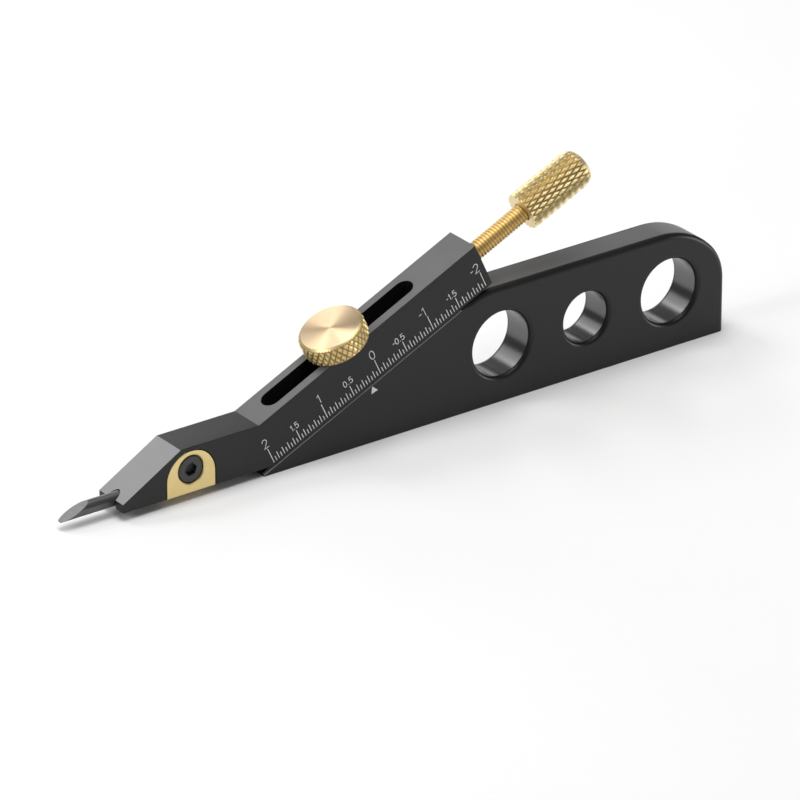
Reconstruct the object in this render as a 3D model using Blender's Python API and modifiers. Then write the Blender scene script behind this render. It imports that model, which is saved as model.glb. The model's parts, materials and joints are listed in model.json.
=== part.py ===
"""Offset marking gauge: a slide arm that climbs an inclined base and carries a clamped graphite lead.

Frame: metres, +Z up.  The origin is the middle of the base's underside, +X points to the tail of
the base, and the lead points to -X.  The slide stands where it is locked in the photograph.
"""

import math

import bmesh
import bpy
from mathutils import Matrix, Vector

MM = 0.001

# Bar stock that the base and the slide are both cut from
BAR_WIDTH = 8.3 * MM

# Base body: one milled aluminium bar
BASE_LENGTH = 114.25 * MM
BASE_HEIGHT = 25.1 * MM
INCLINE_ANGLE = math.radians(25.0)
TIP_HEIGHT = 0.45 * MM
TAIL_RADIUS = 13.2 * MM
SHOULDER_RADIUS = 14.0 * MM
EDGE_ROUND = 1.45 * MM
FINE_CHAMFER = 0.15 * MM
HOLE_HEIGHT = 12.4 * MM
TAIL_HOLE_INSET = 14.08 * MM
HOLE_PITCH = 21.12 * MM
LARGE_BORE = 14.0 * MM
SMALL_BORE = 11.0 * MM
HOLE_ROUND = 0.95 * MM
RIB_LENGTH = 20.0 * MM
RIB_HEIGHT = 2.0 * MM
RIB_SETBACK = 4.0 * MM

# Slide arm: the bar on the incline and the level nose in front of it
SLIDE_CLEARANCE = 0.25 * MM
SLIDE_THICKNESS = 10.2 * MM
SLIDE_LENGTH = 58.9 * MM
SLOT_WIDTH = 4.4 * MM
SLOT_LENGTH = 39.4 * MM
SLOT_REAR_WALL = 13.95 * MM
NOSE_LIFT = 1.66 * MM
NOSE_LENGTH = 35.2 * MM
NOSE_HEIGHT = 9.75 * MM
NOSE_BEVEL_RUN = 13.6 * MM
NOSE_TIP_LAND = 1.9 * MM
HEEL_RELIEF = 0.5 * MM

# Lock: a knurled brass knob on a threaded stud
STUD_DIAMETER = 4.0 * MM
STUD_DEPTH = 8.0 * MM
KNOB_DIAMETER = 13.8 * MM
KNOB_THICKNESS = 3.9 * MM
KNOB_BEVEL_WIDTH = 0.8 * MM
KNOB_BEVEL_DROP = 0.6 * MM
KNOB_FOOT_CHAMFER = 0.4 * MM
KNOB_SOCKET = 2.2 * MM
KNOB_KNURL_PITCH = 1.35 * MM
KNOB_KNURL_LENGTH = 2.1 * MM
KNOB_KNURL_DEPTH = 0.3 * MM

# Adjusting screw: a threaded brass rod with a knurled head
ROD_DIAMETER = 3.8 * MM
ROD_DROP = 4.5 * MM
ROD_EXPOSED = 14.1 * MM
ROD_TIP_SETBACK = 0.5 * MM
HEAD_DIAMETER = 8.3 * MM
HEAD_LENGTH = 16.0 * MM
HEAD_COLLAR = 0.6 * MM
HEAD_FAR_ROUND = 1.5 * MM
HEAD_SOCKET = 6.0 * MM
HEAD_KNURL_PITCH = 1.3 * MM
HEAD_KNURL_LENGTH = 3.25 * MM
HEAD_KNURL_DEPTH = 0.5 * MM

# Lead clamp: a brass plate let into the side of the nose, held by one socket screw
CLAMP_RADIUS = 5.65 * MM
CLAMP_HEIGHT = 8.9 * MM
CLAMP_SETBACK = 16.0 * MM
CLAMP_GAP = 0.2 * MM
SCREW_WEB = 0.25 * MM
SCREW_HEAD_DIAMETER = 5.7 * MM
SCREW_HEAD_HEIGHT = 1.45 * MM
SCREW_RECESS = 0.15 * MM
SCREW_SHANK = 2.4 * MM
SCREW_LENGTH = 7.0 * MM
SOCKET_ACROSS_FLATS = 2.5 * MM
SOCKET_DEPTH = 1.0 * MM

# Graphite lead in its groove
LEAD_DIAMETER = 2.8 * MM
LEAD_REACH = 11.9 * MM
LEAD_INSIDE = 24.0 * MM
LEAD_SAG = 0.05 * MM
LEAD_POINT_LENGTH = 6.5 * MM
LEAD_POINT_BLUNT = 0.15 * MM
GROOVE_LENGTH = 31.0 * MM

# Clearances and mesh fineness
SEAT_GAP = 0.3 * MM
CUT_MARGIN = 1.0 * MM
MERGE = 0.000001
ROUND_STEPS = 48
SMALL_STEPS = 24
EDGE_SEGMENTS = 4
ARC_STEP = math.radians(6.0)
SMOOTH_ANGLE = math.radians(30.0)
COPLANAR_ANGLE = 0.0005

# Places worked out from the sizes above
BAR_SIDE = BAR_WIDTH / 2
TAIL_X = BASE_LENGTH / 2
TIP_X = -BASE_LENGTH / 2
INCLINE_FOOT_X = TIP_X - TIP_HEIGHT / math.tan(INCLINE_ANGLE)
INCLINE_TOP_X = INCLINE_FOOT_X + BASE_HEIGHT / math.tan(INCLINE_ANGLE)
SLIDE_TOP = SLIDE_CLEARANCE + SLIDE_THICKNESS
HEEL_S = (NOSE_LIFT - SLIDE_CLEARANCE * math.cos(INCLINE_ANGLE)) / math.sin(INCLINE_ANGLE)
SLIDE_REAR_S = HEEL_S + SLIDE_LENGTH
SLOT_REAR_S = SLIDE_REAR_S - SLOT_REAR_WALL
STUD_S = SLOT_REAR_S - SLOT_LENGTH / 2
ROD_H = SLIDE_TOP - ROD_DROP
NOSE_HEEL_X = (INCLINE_FOOT_X + HEEL_S * math.cos(INCLINE_ANGLE)
               - SLIDE_CLEARANCE * math.sin(INCLINE_ANGLE))
NOSE_FRONT_X = NOSE_HEEL_X - NOSE_LENGTH
LEAD_HEIGHT = LEAD_DIAMETER / 2 + LEAD_SAG
GROOVE_RADIUS = LEAD_DIAMETER / 2 + SEAT_GAP
CLAMP_THICKNESS = BAR_SIDE - GROOVE_RADIUS
SCREW_HOLE_RADIUS = SCREW_SHANK / 2 + SEAT_GAP
SCREW_HEIGHT = LEAD_HEIGHT + GROOVE_RADIUS + SCREW_WEB + SCREW_HOLE_RADIUS


def clear_scene():
    for item in list(bpy.data.objects):
        bpy.data.objects.remove(item, do_unlink=True)


def new_collection(name):
    collection = bpy.data.collections.new(name)
    bpy.context.scene.collection.children.link(collection)
    return collection


def finish_material(name, colour, roughness, metallic):
    material = bpy.data.materials.new(name)
    material.use_nodes = True
    shader = material.node_tree.nodes["Principled BSDF"]
    shader.inputs["Base Color"].default_value = (*colour, 1.0)
    shader.inputs["Roughness"].default_value = roughness
    shader.inputs["Metallic"].default_value = metallic
    return material


def new_frame(name, location, rotation=(0.0, 0.0, 0.0)):
    frame = bpy.data.objects.new(name, None)
    frame.location = location
    frame.rotation_euler = rotation
    parts.objects.link(frame)
    return frame


def place(item, parent, location, rotation=(0.0, 0.0, 0.0)):
    item.parent = parent
    item.location = location
    item.rotation_euler = rotation
    return item


def new_part(name, mesh, material):
    item = bpy.data.objects.new(name, mesh)
    parts.objects.link(item)
    mesh.materials.clear()
    mesh.materials.append(material)
    return item


def new_cutter(name, mesh):
    item = bpy.data.objects.new(name, mesh)
    cutters.objects.link(item)
    item.hide_render = True
    item.display_type = "WIRE"
    return item


def smooth(mesh):
    mesh.shade_smooth()
    mesh.set_sharp_from_angle(angle=SMOOTH_ANGLE)


def evaluated_mesh(item):
    """The item's mesh with its modifiers in it; the item itself is removed."""
    graph = bpy.context.evaluated_depsgraph_get()
    mesh = bpy.data.meshes.new_from_object(item.evaluated_get(graph))
    bpy.data.objects.remove(item, do_unlink=True)
    return mesh


def rounded(corners):
    """Points of a closed outline from (x, z, radius) corners, with each round as an arc."""
    points = []
    for index, (x, z, radius) in enumerate(corners):
        corner = Vector((x, z))
        if radius == 0.0:
            points.append(corner)
            continue
        before = (Vector(corners[index - 1][:2]) - corner).normalized()
        after = (Vector(corners[(index + 1) % len(corners)][:2]) - corner).normalized()
        half_angle = before.angle(after) / 2
        centre = corner + (before + after).normalized() * radius / math.sin(half_angle)
        start = corner + before * radius / math.tan(half_angle) - centre
        sweep = start.angle_signed(corner + after * radius / math.tan(half_angle) - centre)
        count = max(2, math.ceil(abs(sweep) / ARC_STEP))
        for step in range(count + 1):
            turn = -sweep * step / count
            spoke = Matrix.Rotation(turn, 2) @ start
            points.append(centre + spoke)
    return points


def plate_mesh(points, thickness):
    """A flat outline in the XZ plane, extruded evenly to both sides along Y."""
    curve = bpy.data.curves.new("outline", "CURVE")
    curve.dimensions = "2D"
    curve.fill_mode = "BOTH"
    curve.extrude = thickness / 2
    spline = curve.splines.new("POLY")
    spline.points.add(len(points) - 1)
    for point, (x, z) in zip(spline.points, points):
        point.co = (x, z, 0.0, 1.0)
    spline.use_cyclic_u = True
    outline = bpy.data.objects.new("outline", curve)
    cutters.objects.link(outline)
    mesh = evaluated_mesh(outline)
    shape = bmesh.new()
    shape.from_mesh(mesh)
    bmesh.ops.remove_doubles(shape, verts=shape.verts, dist=MERGE)
    bmesh.ops.dissolve_limit(shape, angle_limit=COPLANAR_ANGLE, verts=shape.verts, edges=shape.edges)
    bmesh.ops.rotate(shape, verts=shape.verts, matrix=Matrix.Rotation(math.pi / 2, 3, "X"))
    bmesh.ops.recalc_face_normals(shape, faces=shape.faces)
    shape.to_mesh(mesh)
    shape.free()
    return mesh


def box_mesh(low, high):
    shape = bmesh.new()
    bmesh.ops.create_cube(shape, size=1.0)
    low, high = Vector(low), Vector(high)
    bmesh.ops.scale(shape, verts=shape.verts, vec=high - low)
    bmesh.ops.translate(shape, verts=shape.verts, vec=(low + high) / 2)
    mesh = bpy.data.meshes.new("box")
    shape.to_mesh(mesh)
    shape.free()
    return mesh


def turned_mesh(profile, steps):
    """A (radius, height) profile, top to bottom on its outer side, turned about Z."""
    outline = bpy.data.meshes.new("profile")
    outline.from_pydata([(r, 0.0, z) for r, z in profile], [(i, i + 1) for i in range(len(profile) - 1)], [])
    blank = bpy.data.objects.new("profile", outline)
    cutters.objects.link(blank)
    screw = blank.modifiers.new("turn", "SCREW")
    screw.axis = "Z"
    screw.angle = 2 * math.pi
    screw.steps = steps
    screw.render_steps = steps
    screw.use_merge_vertices = True
    screw.merge_threshold = MERGE
    return evaluated_mesh(blank)


def knurl(mesh, radius, low, row_height, rows, columns, depth):
    """Press a diamond knurl into the band of a turned mesh that stands at the given radius."""
    shape = bmesh.new()
    shape.from_mesh(mesh)
    pressed = set()
    band = set()
    for vert in shape.verts:
        out = math.hypot(vert.co.x, vert.co.y)
        row = round((vert.co.z - low) / row_height)
        if abs(out - radius) > MERGE * 10 or not 0 <= row <= rows:
            continue
        column = round(math.atan2(vert.co.y, vert.co.x) / (2 * math.pi / columns)) % columns
        band.add(vert)
        if row in (0, rows) or (row + column) % 2:
            pressed.add(vert)
            scale = (radius - depth) / out
            vert.co.x *= scale
            vert.co.y *= scale
    for face in list(shape.faces):
        if len(face.verts) == 4 and all(vert in band for vert in face.verts):
            corners = list(face.verts)
            first = 0 if corners[0] in pressed and corners[2] in pressed else 1
            bmesh.utils.face_split(face, corners[first], corners[first + 2])
    shape.to_mesh(mesh)
    shape.free()


def cut(part, cutter):
    boolean = part.modifiers.new(cutter.name, "BOOLEAN")
    boolean.operation = "DIFFERENCE"
    boolean.solver = "EXACT"
    boolean.object = cutter


def join(part, addition):
    boolean = part.modifiers.new(addition.name, "BOOLEAN")
    boolean.operation = "UNION"
    boolean.solver = "EXACT"
    boolean.object = addition


def chamfer(part, width):
    bevel = part.modifiers.new("edges", "BEVEL")
    bevel.width = width
    bevel.segments = 1
    bevel.limit_method = "ANGLE"
    bevel.angle_limit = SMOOTH_ANGLE


def along_incline(x, z):
    """World X and Z as distance up the incline and height off it."""
    run = x - INCLINE_FOOT_X
    s = run * math.cos(INCLINE_ANGLE) + z * math.sin(INCLINE_ANGLE)
    h = z * math.cos(INCLINE_ANGLE) - run * math.sin(INCLINE_ANGLE)
    return s, h


def make_base_body():
    sawn_foot = -2 * EDGE_ROUND
    outline = rounded([
        (TIP_X, sawn_foot, 0.0),
        (TAIL_X, sawn_foot, 0.0),
        (TAIL_X, BASE_HEIGHT, TAIL_RADIUS),
        (INCLINE_TOP_X, BASE_HEIGHT, SHOULDER_RADIUS),
        (TIP_X, TIP_HEIGHT, 0.0),
    ])
    body = new_part("base_body", plate_mesh(outline, BAR_WIDTH), BLACK_ANODISED)
    weigh_base_edges(body.data)
    bevel = body.modifiers.new("edges", "BEVEL")
    bevel.width = EDGE_ROUND
    bevel.segments = EDGE_SEGMENTS
    bevel.limit_method = "WEIGHT"
    foot = new_cutter("foot", box_mesh((TIP_X - CUT_MARGIN, -BAR_WIDTH, sawn_foot - CUT_MARGIN),
                                       (TAIL_X + CUT_MARGIN, BAR_WIDTH, 0.0)))
    cut(body, foot)

    tail_hole_x = TAIL_X - TAIL_HOLE_INSET
    for index, bore in enumerate((LARGE_BORE, SMALL_BORE, LARGE_BORE)):
        hole = new_cutter(f"hole_{index + 1}", hole_mesh(bore / 2))
        place(hole, None, (tail_hole_x - index * HOLE_PITCH, 0.0, HOLE_HEIGHT), (math.pi / 2, 0.0, 0.0))
        cut(body, hole)

    rib_start = STUD_S + RIB_SETBACK
    half_rib = SLOT_WIDTH / 2 - SEAT_GAP
    rib = new_cutter("guide_rib", box_mesh((rib_start, -half_rib, -CUT_MARGIN),
                                           (rib_start + RIB_LENGTH, half_rib, RIB_HEIGHT)))
    place(rib, incline, (0.0, 0.0, 0.0))
    join(body, rib)

    tapped = STUD_DIAMETER / 2 + SEAT_GAP
    stud_hole = new_cutter("stud_hole", turned_mesh([
        (0.0, CUT_MARGIN), (tapped, CUT_MARGIN),
        (tapped, -STUD_DEPTH - SEAT_GAP), (0.0, -STUD_DEPTH - SEAT_GAP)], SMALL_STEPS))
    place(stud_hole, incline, (STUD_S, 0.0, 0.0))
    cut(body, stud_hole)
    return body


def weigh_base_edges(mesh):
    """The rear outline is rounded; the edges of the incline have a fine chamfer."""
    shape = bmesh.new()
    shape.from_mesh(mesh)
    weight = shape.edges.layers.float.new("bevel_weight_edge")
    shoulder_x = INCLINE_TOP_X - SHOULDER_RADIUS * math.tan(INCLINE_ANGLE / 2)
    for edge in shape.edges:
        ends = [vert.co for vert in edge.verts]
        if ends[0].y * ends[1].y < 0.0:
            continue
        if all(end.x > shoulder_x - MERGE for end in ends):
            edge[weight] = 1.0
        elif all(end.z > 0.0 for end in ends):
            edge[weight] = FINE_CHAMFER / EDGE_ROUND
    shape.to_mesh(mesh)
    shape.free()


def hole_mesh(radius):
    """A bore through the body whose edges are rounded at both faces."""
    angles = [math.pi / 2 * step / EDGE_SEGMENTS for step in range(EDGE_SEGMENTS + 1)]
    outer = BAR_SIDE + CUT_MARGIN
    flare = radius + HOLE_ROUND
    rim = [(flare - HOLE_ROUND * math.sin(angle), BAR_SIDE - HOLE_ROUND * (1 - math.cos(angle)))
           for angle in angles]
    far_rim = [(spoke, -side) for spoke, side in reversed(rim)]
    return turned_mesh([(0.0, outer), (flare, outer), *rim, *far_rim, (flare, -outer), (0.0, -outer)],
                       ROUND_STEPS)


def make_slide_arm():
    nose_top = NOSE_LIFT + NOSE_HEIGHT
    bend_s = (nose_top - SLIDE_TOP * math.cos(INCLINE_ANGLE)) / math.sin(INCLINE_ANGLE)
    corners = [
        (HEEL_S + HEEL_RELIEF, SLIDE_CLEARANCE),
        (SLIDE_REAR_S, SLIDE_CLEARANCE),
        (SLIDE_REAR_S, SLIDE_TOP),
        (bend_s, SLIDE_TOP),
        along_incline(NOSE_FRONT_X + NOSE_BEVEL_RUN, nose_top),
        along_incline(NOSE_FRONT_X, NOSE_LIFT + NOSE_TIP_LAND),
        along_incline(NOSE_FRONT_X, NOSE_LIFT),
        along_incline(NOSE_HEEL_X - HEEL_RELIEF, NOSE_LIFT),
    ]
    arm = new_part("slide_arm", plate_mesh(corners, BAR_WIDTH), BLACK_ANODISED)
    place(arm, incline, (0.0, 0.0, 0.0))
    chamfer(arm, FINE_CHAMFER)

    half_slot = SLOT_WIDTH / 2
    slot_end = SLOT_LENGTH / 2
    slot_outline = rounded([
        (STUD_S - slot_end, -half_slot, half_slot),
        (STUD_S + slot_end, -half_slot, half_slot),
        (STUD_S + slot_end, half_slot, half_slot),
        (STUD_S - slot_end, half_slot, half_slot),
    ])
    slot = new_cutter("slot", plate_mesh(slot_outline, 2 * (SLIDE_TOP + CUT_MARGIN)))
    place(slot, incline, (0.0, 0.0, 0.0), (math.pi / 2, 0.0, 0.0))
    cut(arm, slot)

    keyway = new_cutter("keyway", box_mesh((STUD_S, -half_slot, -CUT_MARGIN),
                                           (SLIDE_REAR_S + CUT_MARGIN, half_slot, RIB_HEIGHT + SEAT_GAP)))
    place(keyway, incline, (0.0, 0.0, 0.0))
    cut(arm, keyway)

    tapped = ROD_DIAMETER / 2 + SEAT_GAP
    rod_hole = new_cutter("rod_hole", turned_mesh([
        (0.0, CUT_MARGIN), (tapped, CUT_MARGIN),
        (tapped, -SLOT_REAR_WALL - half_slot), (0.0, -SLOT_REAR_WALL - half_slot)], SMALL_STEPS))
    place(rod_hole, incline, (SLIDE_REAR_S, 0.0, ROD_H), (0.0, math.pi / 2, 0.0))
    cut(arm, rod_hole)

    cut_nose(arm)
    return arm


def cut_nose(arm):
    """The lead's groove in the underside, the clamp's pocket in the front and the screw's hole."""
    groove_outline = [(GROOVE_RADIUS, -LEAD_HEIGHT - CUT_MARGIN)]
    groove_outline += half_round(GROOVE_RADIUS, 0.0)
    groove_outline += [(-GROOVE_RADIUS, -LEAD_HEIGHT - CUT_MARGIN)]
    groove_length = GROOVE_LENGTH + CUT_MARGIN
    groove = new_cutter("lead_groove", plate_mesh(groove_outline, groove_length))
    place(groove, nose, (groove_length / 2 - CUT_MARGIN, 0.0, LEAD_HEIGHT), (0.0, 0.0, math.pi / 2))
    cut(arm, groove)

    depth = CLAMP_THICKNESS + CLAMP_GAP
    pocket = new_cutter("clamp_pocket", plate_mesh(
        clamp_outline(CLAMP_RADIUS + CLAMP_GAP, -CUT_MARGIN), depth + CUT_MARGIN))
    place(pocket, nose, (CLAMP_SETBACK, (depth - CUT_MARGIN) / 2 - BAR_SIDE, 0.0))
    cut(arm, pocket)

    screw_end = SCREW_RECESS + SCREW_LENGTH + SEAT_GAP
    screw_hole = new_cutter("screw_hole", turned_mesh([
        (0.0, -CLAMP_THICKNESS / 2), (SCREW_HOLE_RADIUS, -CLAMP_THICKNESS / 2),
        (SCREW_HOLE_RADIUS, -screw_end), (0.0, -screw_end)], SMALL_STEPS))
    place(screw_hole, nose, (CLAMP_SETBACK, -BAR_SIDE, SCREW_HEIGHT), (math.pi / 2, 0.0, 0.0))
    cut(arm, screw_hole)


def half_round(radius, height):
    """The upper half of a circle, from +X over the top to -X."""
    count = math.ceil(math.pi / ARC_STEP)
    angles = [math.pi * step / count for step in range(count + 1)]
    return [(radius * math.cos(angle), height + radius * math.sin(angle)) for angle in angles]


def clamp_outline(radius, foot):
    """The round-topped clamp plate, straight-sided down to its foot."""
    spring_line = CLAMP_HEIGHT - CLAMP_RADIUS
    return [(radius, foot)] + half_round(radius, spring_line) + [(-radius, foot)]


def make_lock_stud():
    radius = STUD_DIAMETER / 2
    top = SLIDE_TOP + KNOB_SOCKET
    stud = new_part("lock_stud", turned_mesh([
        (0.0, top), (radius, top), (radius, FINE_CHAMFER - STUD_DEPTH),
        (radius - FINE_CHAMFER, -STUD_DEPTH), (0.0, -STUD_DEPTH)], SMALL_STEPS), BRASS)
    place(stud, incline, (STUD_S, 0.0, 0.0))
    smooth(stud.data)
    return stud


def make_lock_knob():
    radius = KNOB_DIAMETER / 2
    socket = STUD_DIAMETER / 2 + SEAT_GAP
    band_top = KNOB_THICKNESS - KNOB_BEVEL_DROP
    columns = 2 * round(math.pi * KNOB_DIAMETER / KNOB_KNURL_PITCH)
    rows = 2 * max(1, round((band_top - KNOB_FOOT_CHAMFER) / KNOB_KNURL_LENGTH))
    row_height = (band_top - KNOB_FOOT_CHAMFER) / rows
    band = [(radius, band_top - row * row_height) for row in range(rows + 1)]
    mesh = turned_mesh([
        (0.0, KNOB_THICKNESS), (radius - KNOB_BEVEL_WIDTH, KNOB_THICKNESS), *band,
        (radius - KNOB_FOOT_CHAMFER, 0.0), (socket, 0.0),
        (socket, KNOB_SOCKET), (0.0, KNOB_SOCKET)], columns)
    knurl(mesh, radius, KNOB_FOOT_CHAMFER, row_height, rows, columns, KNOB_KNURL_DEPTH)
    knob = new_part("lock_knob", mesh, BRASS)
    place(knob, incline, (STUD_S, 0.0, SLIDE_TOP + SEAT_GAP))
    smooth(knob.data)
    return knob


def make_adjust_rod():
    radius = ROD_DIAMETER / 2
    front = SLOT_REAR_S + ROD_TIP_SETBACK
    length = SLIDE_REAR_S + ROD_EXPOSED + HEAD_SOCKET - SEAT_GAP - front
    rod = new_part("adjust_rod", turned_mesh([
        (0.0, length), (radius, length), (radius, FINE_CHAMFER),
        (radius - FINE_CHAMFER, 0.0), (0.0, 0.0)], SMALL_STEPS), BRASS)
    place(rod, incline, (front, 0.0, ROD_H), (0.0, math.pi / 2, 0.0))
    smooth(rod.data)
    return rod


def make_adjust_head():
    radius = HEAD_DIAMETER / 2
    socket = ROD_DIAMETER / 2 + SEAT_GAP
    band_top = HEAD_LENGTH - HEAD_FAR_ROUND
    columns = 2 * round(math.pi * HEAD_DIAMETER / HEAD_KNURL_PITCH)
    rows = 2 * round((band_top - HEAD_COLLAR) / HEAD_KNURL_LENGTH)
    row_height = (band_top - HEAD_COLLAR) / rows
    band = [(radius, band_top - row * row_height) for row in range(rows + 1)]
    root = radius - HEAD_KNURL_DEPTH
    crown = [(root - HEAD_FAR_ROUND * (1 - math.cos(angle)), band_top + HEAD_FAR_ROUND * math.sin(angle))
             for angle in (math.radians(90.0), math.radians(60.0), math.radians(30.0))]
    mesh = turned_mesh([
        (0.0, HEAD_LENGTH), *crown, *band,
        (root - FINE_CHAMFER, 0.0), (socket, 0.0),
        (socket, HEAD_SOCKET), (0.0, HEAD_SOCKET)], columns)
    knurl(mesh, radius, HEAD_COLLAR, row_height, rows, columns, HEAD_KNURL_DEPTH)
    head = new_part("adjust_head", mesh, BRASS)
    place(head, incline, (SLIDE_REAR_S + ROD_EXPOSED, 0.0, ROD_H), (0.0, math.pi / 2, 0.0))
    smooth(head.data)
    return head


def make_lead_clamp():
    plate = new_part("lead_clamp", plate_mesh(clamp_outline(CLAMP_RADIUS, 0.0), CLAMP_THICKNESS), BRASS)
    place(plate, nose, (CLAMP_SETBACK, CLAMP_THICKNESS / 2 - BAR_SIDE, 0.0))
    chamfer(plate, FINE_CHAMFER)
    recess = SCREW_HEAD_DIAMETER / 2 + SEAT_GAP
    shelf = SCREW_RECESS + SCREW_HEAD_HEIGHT + SEAT_GAP
    seat = new_cutter("screw_seat", turned_mesh([
        (0.0, CUT_MARGIN), (recess, CUT_MARGIN), (recess, -shelf), (SCREW_HOLE_RADIUS, -shelf),
        (SCREW_HOLE_RADIUS, -CLAMP_THICKNESS - CUT_MARGIN),
        (0.0, -CLAMP_THICKNESS - CUT_MARGIN)], SMALL_STEPS))
    place(seat, nose, (CLAMP_SETBACK, -BAR_SIDE, SCREW_HEIGHT), (math.pi / 2, 0.0, 0.0))
    cut(plate, seat)
    return plate


def make_clamp_screw():
    head = SCREW_HEAD_DIAMETER / 2
    shank = SCREW_SHANK / 2
    screw = new_part("clamp_screw", turned_mesh([
        (0.0, 0.0), (head - FINE_CHAMFER, 0.0), (head, -FINE_CHAMFER), (head, -SCREW_HEAD_HEIGHT),
        (shank, -SCREW_HEAD_HEIGHT), (shank, FINE_CHAMFER - SCREW_LENGTH),
        (shank - FINE_CHAMFER, -SCREW_LENGTH), (0.0, -SCREW_LENGTH)], SMALL_STEPS), BLACK_STEEL)
    axis_point = (CLAMP_SETBACK, SCREW_RECESS - BAR_SIDE, SCREW_HEIGHT)
    place(screw, nose, axis_point, (math.pi / 2, 0.0, 0.0))
    corner = SOCKET_ACROSS_FLATS / 2 / math.cos(math.pi / 6)
    socket = new_cutter("hex_socket", turned_mesh([
        (0.0, CUT_MARGIN), (corner, CUT_MARGIN), (corner, -SOCKET_DEPTH), (0.0, -SOCKET_DEPTH)], 6))
    place(socket, nose, axis_point, (math.pi / 2, 0.0, 0.0))
    cut(screw, socket)
    smooth(screw.data)
    return screw


def make_graphite_lead():
    """A round lead whose front is rubbed to a flat, sloping point."""
    radius = LEAD_DIAMETER / 2
    length = LEAD_REACH + LEAD_INSIDE
    shape = bmesh.new()
    bmesh.ops.create_cone(shape, cap_ends=True, segments=SMALL_STEPS, radius1=radius, radius2=radius,
                          depth=length, matrix=Matrix.Rotation(math.pi / 2, 4, "Y"))
    bmesh.ops.translate(shape, verts=shape.verts, vec=(length / 2 - LEAD_REACH, 0.0, 0.0))
    rise = LEAD_DIAMETER - LEAD_POINT_BLUNT
    point = Vector((-LEAD_REACH, 0.0, LEAD_POINT_BLUNT - radius))
    flat = bmesh.ops.bisect_plane(
        shape, geom=shape.verts[:] + shape.edges[:] + shape.faces[:], dist=MERGE,
        plane_co=point, plane_no=Vector((-rise, 0.0, LEAD_POINT_LENGTH)).normalized(), clear_outer=True)
    rim = [item for item in flat["geom_cut"] if isinstance(item, bmesh.types.BMEdge)]
    bmesh.ops.edgeloop_fill(shape, edges=rim)
    bmesh.ops.recalc_face_normals(shape, faces=shape.faces)
    mesh = bpy.data.meshes.new("graphite_lead")
    shape.to_mesh(mesh)
    shape.free()
    lead = new_part("graphite_lead", mesh, GRAPHITE)
    place(lead, nose, (0.0, 0.0, LEAD_HEIGHT))
    smooth(lead.data)
    return lead


clear_scene()
parts = new_collection("offset_marking_gauge")
cutters = new_collection("cutters")
BLACK_ANODISED = finish_material("black_anodised", (0.032, 0.032, 0.034), 0.45, 0.6)
BRASS = finish_material("brass", (0.78, 0.57, 0.25), 0.3, 1.0)
BLACK_STEEL = finish_material("black_steel", (0.03, 0.03, 0.03), 0.4, 0.8)
GRAPHITE = finish_material("graphite", (0.12, 0.12, 0.125), 0.35, 0.6)

incline = new_frame("incline_frame", (INCLINE_FOOT_X, 0.0, 0.0), (0.0, -INCLINE_ANGLE, 0.0))
nose = new_frame("nose_frame", (NOSE_FRONT_X, 0.0, NOSE_LIFT))

make_base_body()
make_slide_arm()
make_lock_stud()
make_lock_knob()
make_adjust_rod()
make_adjust_head()
make_lead_clamp()
make_clamp_screw()
make_graphite_lead()
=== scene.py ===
"""Looks of the offset marking gauge: its finished pieces, the studio around it and the photo's view."""

import json
import math

import bmesh
import bpy
from mathutils import Matrix, Vector


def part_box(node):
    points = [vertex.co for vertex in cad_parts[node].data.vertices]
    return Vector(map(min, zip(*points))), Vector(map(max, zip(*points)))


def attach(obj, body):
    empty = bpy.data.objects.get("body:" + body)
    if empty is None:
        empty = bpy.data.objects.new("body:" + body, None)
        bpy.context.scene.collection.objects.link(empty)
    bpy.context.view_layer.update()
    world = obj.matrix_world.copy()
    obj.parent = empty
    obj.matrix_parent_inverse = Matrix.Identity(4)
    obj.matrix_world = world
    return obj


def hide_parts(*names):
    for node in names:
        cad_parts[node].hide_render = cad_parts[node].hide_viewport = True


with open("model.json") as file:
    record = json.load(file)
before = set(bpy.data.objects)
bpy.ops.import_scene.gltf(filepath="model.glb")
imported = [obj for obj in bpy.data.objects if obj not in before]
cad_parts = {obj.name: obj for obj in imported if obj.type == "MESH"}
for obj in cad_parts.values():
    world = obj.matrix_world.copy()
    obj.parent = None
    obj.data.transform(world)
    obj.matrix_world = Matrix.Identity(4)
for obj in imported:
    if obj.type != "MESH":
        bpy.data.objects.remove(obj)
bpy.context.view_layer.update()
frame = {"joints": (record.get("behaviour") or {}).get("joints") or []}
scene = bpy.context.scene
joints = {joint["name"]: joint for joint in frame["joints"]}

# Base body
# One bar of aluminium, milled to a wedge with a rounded tail, bored with three holes and anodised black.
# The rear edges and the holes' rims are rounded over; the incline keeps crisp edges for the slide.
MM = 0.001
BASE_TIP_HEIGHT = 0.45 * MM
TAIL_CUT_RUN = 9.0 * MM
TAIL_CUT_DROP = 8.45 * MM
TAIL_TOP_RADIUS = 17.7 * MM
TAIL_SIDE_RADIUS = 11.3 * MM
BASE_SHOULDER_RADIUS = 14.0 * MM
BASE_EDGE_ROUND = 1.2 * MM
INCLINE_EDGE = 0.21 * MM
EDGE_RUN_OUT = 2.5 * MM
HOLE_HEIGHT = 12.4 * MM
HOLE_INSET = 14.08 * MM
HOLE_PITCH = 21.12 * MM
HOLE_RADII = (7.0 * MM, 5.5 * MM, 7.0 * MM)
HOLE_ROUND = 0.95 * MM
RIB_START = 32.64 * MM
RIB_LENGTH = 20.0 * MM
RIB_HEIGHT = 2.0 * MM
RIB_HALF_WIDTH = 1.9 * MM
STUD_S = 28.642 * MM
STUD_HOLE_RADIUS = 2.05 * MM
STUD_HOLE_DEPTH = 8.3 * MM
CUT_MARGIN = 1.0 * MM
ROUND_SEGMENTS = 5
HOLE_STEPS = 128
BORE_STEPS = 48
ARC_STEP = math.radians(2.5)
ARC_LEAST_STEPS = 4
SHARP_ANGLE = math.radians(32.0)
FLAT_TOLERANCE = 0.02
FLAT_FACE_WEIGHT = 100
MERGE = 1e-7
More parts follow.
